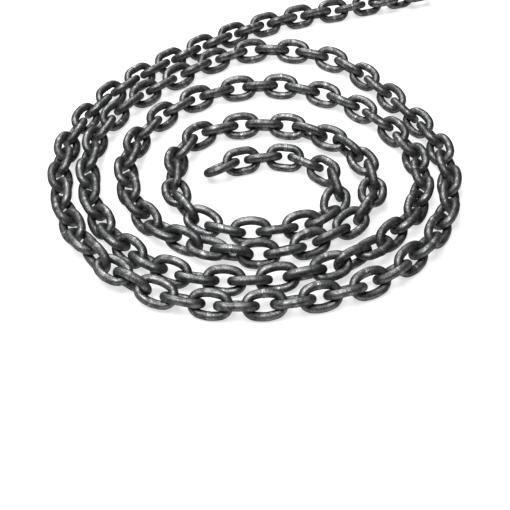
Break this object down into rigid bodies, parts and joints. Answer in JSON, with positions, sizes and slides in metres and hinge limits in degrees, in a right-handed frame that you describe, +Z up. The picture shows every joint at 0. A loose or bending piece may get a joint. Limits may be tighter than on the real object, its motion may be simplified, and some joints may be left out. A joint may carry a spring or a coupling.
{
  "type": "coiled welded chain",
  "caption": "Welded short-link steel chain laid in a loose flat spiral, with the links at both free ends hinged one in the next so that the ends swing and lift.",
  "frame": {"origin": "middle of the whole chain's box, on the floor that it lies on", "axes": "+Z up from the floor; +Y along the longer side of the spiral, away from the viewer, towards the side where the outer end leaves; +X to the viewer's right"},
  "size_m": [0.5368, 0.6744, 0.0356],
  "materials": {
    "dark_steel": "dark, lightly oiled, satin"
  },
  "bodies": {
    "coil": {"links_006_to_009": "dark_steel", "links_010_to_013": "dark_steel", "links_014_to_017": "dark_steel", "links_018_to_021": "dark_steel", "links_022_to_025": "dark_steel", "links_026_to_029": "dark_steel", "links_030_to_033": "dark_steel", "links_034_to_037": "dark_steel", "links_038_to_041": "dark_steel", "links_042_to_045": "dark_steel", "links_046_to_049": "dark_steel", "links_050_to_053": "dark_steel", "links_054_to_057": "dark_steel", "links_058_to_061": "dark_steel", "links_062_to_065": "dark_steel", "links_066_to_069": "dark_steel", "links_070_to_073": "dark_steel", "links_074_to_077": "dark_steel", "links_078_to_081": "dark_steel", "links_082_to_085": "dark_steel", "links_086_to_089": "dark_steel", "links_090_to_093": "dark_steel", "links_094_to_097": "dark_steel", "links_098_to_101": "dark_steel", "links_102_to_105": "dark_steel", "links_106_to_109": "dark_steel", "links_110_to_113": "dark_steel", "links_114_to_117": "dark_steel", "links_118_to_121": "dark_steel", "links_122_to_125": "dark_steel", "links_126_to_129": "dark_steel", "links_130_to_133": "dark_steel", "links_134_to_137": "dark_steel"},
    "inner_end_link": {"inner_end_link": "dark_steel"},
    "link_002": {"link_002": "dark_steel"},
    "link_003": {"link_003": "dark_steel"},
    "link_004": {"link_004": "dark_steel"},
    "link_005": {"link_005": "dark_steel"},
    "link_138": {"link_138": "dark_steel"},
    "link_139": {"link_139": "dark_steel"},
    "link_140": {"link_140": "dark_steel"},
    "link_141": {"link_141": "dark_steel"},
    "link_142": {"link_142": "dark_steel"},
    "link_143": {"link_143": "dark_steel"},
    "link_144": {"link_144": "dark_steel"},
    "link_145": {"link_145": "dark_steel"},
    "link_146": {"link_146": "dark_steel"},
    "link_147": {"link_147": "dark_steel"},
    "link_148": {"link_148": "dark_steel"},
    "link_149": {"link_149": "dark_steel"},
    "link_150": {"link_150": "dark_steel"},
    "link_151": {"link_151": "dark_steel"},
    "link_152": {"link_152": "dark_steel"},
    "link_153": {"link_153": "dark_steel"},
    "link_154": {"link_154": "dark_steel"},
    "link_155": {"link_155": "dark_steel"},
    "link_156": {"link_156": "dark_steel"},
    "outer_end_link": {"outer_end_link": "dark_steel"}
  },
  "joints": [
    {"name": "swing_005", "type": "hinge", "parent": "coil", "child": "link_005", "pos_m": [0.06469, -0.09389, 0.01412], "axis": [0, 0, 1], "range_deg": [-22, 5]},
    {"name": "swing_004", "type": "hinge", "parent": "link_005", "child": "link_004", "pos_m": [0.04062, -0.07957, 0.01412], "axis": [0, 0, -1], "range_deg": [-7, 20]},
    {"name": "swing_003", "type": "hinge", "parent": "link_004", "child": "link_003", "pos_m": [0.01293, -0.07544, 0.01412], "axis": [0, 0, -1], "range_deg": [-10, 20]},
    {"name": "lift_002", "type": "hinge", "parent": "link_003", "child": "link_002", "pos_m": [-0.01456, -0.08075, 0.01465], "axis": [-0.1895, 0.9819, 0], "range_deg": [0, 25]},
    {"name": "swing_001", "type": "hinge", "parent": "link_002", "child": "inner_end_link", "pos_m": [-0.04131, -0.08903, 0.01465], "axis": [0, 0, 1], "range_deg": [-30, 7]},
    {"name": "lift_138", "type": "hinge", "parent": "coil", "child": "link_138", "pos_m": [-0.21641, 0.04319, 0.01412], "axis": [0.8828, -0.4697, 0], "range_deg": [0, 22]},
    {"name": "swing_139", "type": "hinge", "parent": "link_138", "child": "link_139", "pos_m": [-0.20041, 0.06617, 0.01412], "axis": [0, 0, -1], "range_deg": [-30, 0]},
    {"name": "lift_140", "type": "hinge", "parent": "link_139", "child": "link_140", "pos_m": [-0.18242, 0.08762, 0.01412], "axis": [0.7661, -0.6427, 0], "range_deg": [0, 27]},
    {"name": "swing_141", "type": "hinge", "parent": "link_140", "child": "link_141", "pos_m": [-0.16325, 0.10803, 0.01412], "axis": [0, 0, 1], "range_deg": [-2, 30]},
    {"name": "lift_142", "type": "hinge", "parent": "link_141", "child": "link_142", "pos_m": [-0.14292, 0.12729, 0.01412], "axis": [0.6878, -0.7259, 0], "range_deg": [0, 27]},
    {"name": "swing_143", "type": "hinge", "parent": "link_142", "child": "link_143", "pos_m": [-0.12182, 0.1457, 0.01412], "axis": [0, 0, -1], "range_deg": [-30, 7]},
    {"name": "lift_144", "type": "hinge", "parent": "link_143", "child": "link_144", "pos_m": [-0.10017, 0.16345, 0.01412], "axis": [0.634, -0.7734, 0], "range_deg": [0, 27]},
    {"name": "swing_145", "type": "hinge", "parent": "link_144", "child": "link_145", "pos_m": [-0.07804, 0.18061, 0.01412], "axis": [0, 0, 1], "range_deg": [-20, 30]},
    {"name": "lift_146", "type": "hinge", "parent": "link_145", "child": "link_146", "pos_m": [-0.05537, 0.19704, 0.01412], "axis": [0.5869, -0.8097, 0], "range_deg": [0, 27]},
    {"name": "swing_147", "type": "hinge", "parent": "link_146", "child": "link_147", "pos_m": [-0.03202, 0.21249, 0.01412], "axis": [0, 0, -1], "range_deg": [-30, 25]},
    {"name": "lift_148", "type": "hinge", "parent": "link_147", "child": "link_148", "pos_m": [-0.00783, 0.22659, 0.01412], "axis": [0.5033, -0.8641, 0], "range_deg": [0, 27]},
    {"name": "swing_149", "type": "hinge", "parent": "link_148", "child": "link_149", "pos_m": [0.01722, 0.23912, 0.01412], "axis": [0, 0, 1], "range_deg": [-27, 30]},
    {"name": "lift_150", "type": "hinge", "parent": "link_149", "child": "link_150", "pos_m": [0.0429, 0.25026, 0.01412], "axis": [0.3979, -0.9174, 0], "range_deg": [0, 27]},
    {"name": "swing_151", "type": "hinge", "parent": "link_150", "child": "link_151", "pos_m": [0.06904, 0.2603, 0.01412], "axis": [0, 0, -1], "range_deg": [-30, 25]},
    {"name": "lift_152", "type": "hinge", "parent": "link_151", "child": "link_152", "pos_m": [0.09577, 0.26863, 0.01412], "axis": [0.2976, -0.9547, 0], "range_deg": [0, 27]},
    {"name": "swing_153", "type": "hinge", "parent": "link_152", "child": "link_153", "pos_m": [0.12277, 0.27605, 0.01412], "axis": [0, 0, 1], "range_deg": [-22, 25]},
    {"name": "lift_154", "type": "hinge", "parent": "link_153", "child": "link_154", "pos_m": [0.14964, 0.28394, 0.01646], "axis": [0.2816, -0.9595, 0], "range_deg": [0, 27]},
    {"name": "swing_155", "type": "hinge", "parent": "link_154", "child": "link_155", "pos_m": [0.17623, 0.29272, 0.01646], "axis": [0, 0, -1], "range_deg": [-22, 20]},
    {"name": "lift_156", "type": "hinge", "parent": "link_155", "child": "link_156", "pos_m": [0.2027, 0.30183, 0.01769], "axis": [0.3253, -0.9456, 0], "range_deg": [0, 22]},
    {"name": "swing_157", "type": "hinge", "parent": "link_156", "child": "outer_end_link", "pos_m": [0.22914, 0.31105, 0.01769], "axis": [0, 0, 1], "range_deg": [-20, 20]}
  ]
}
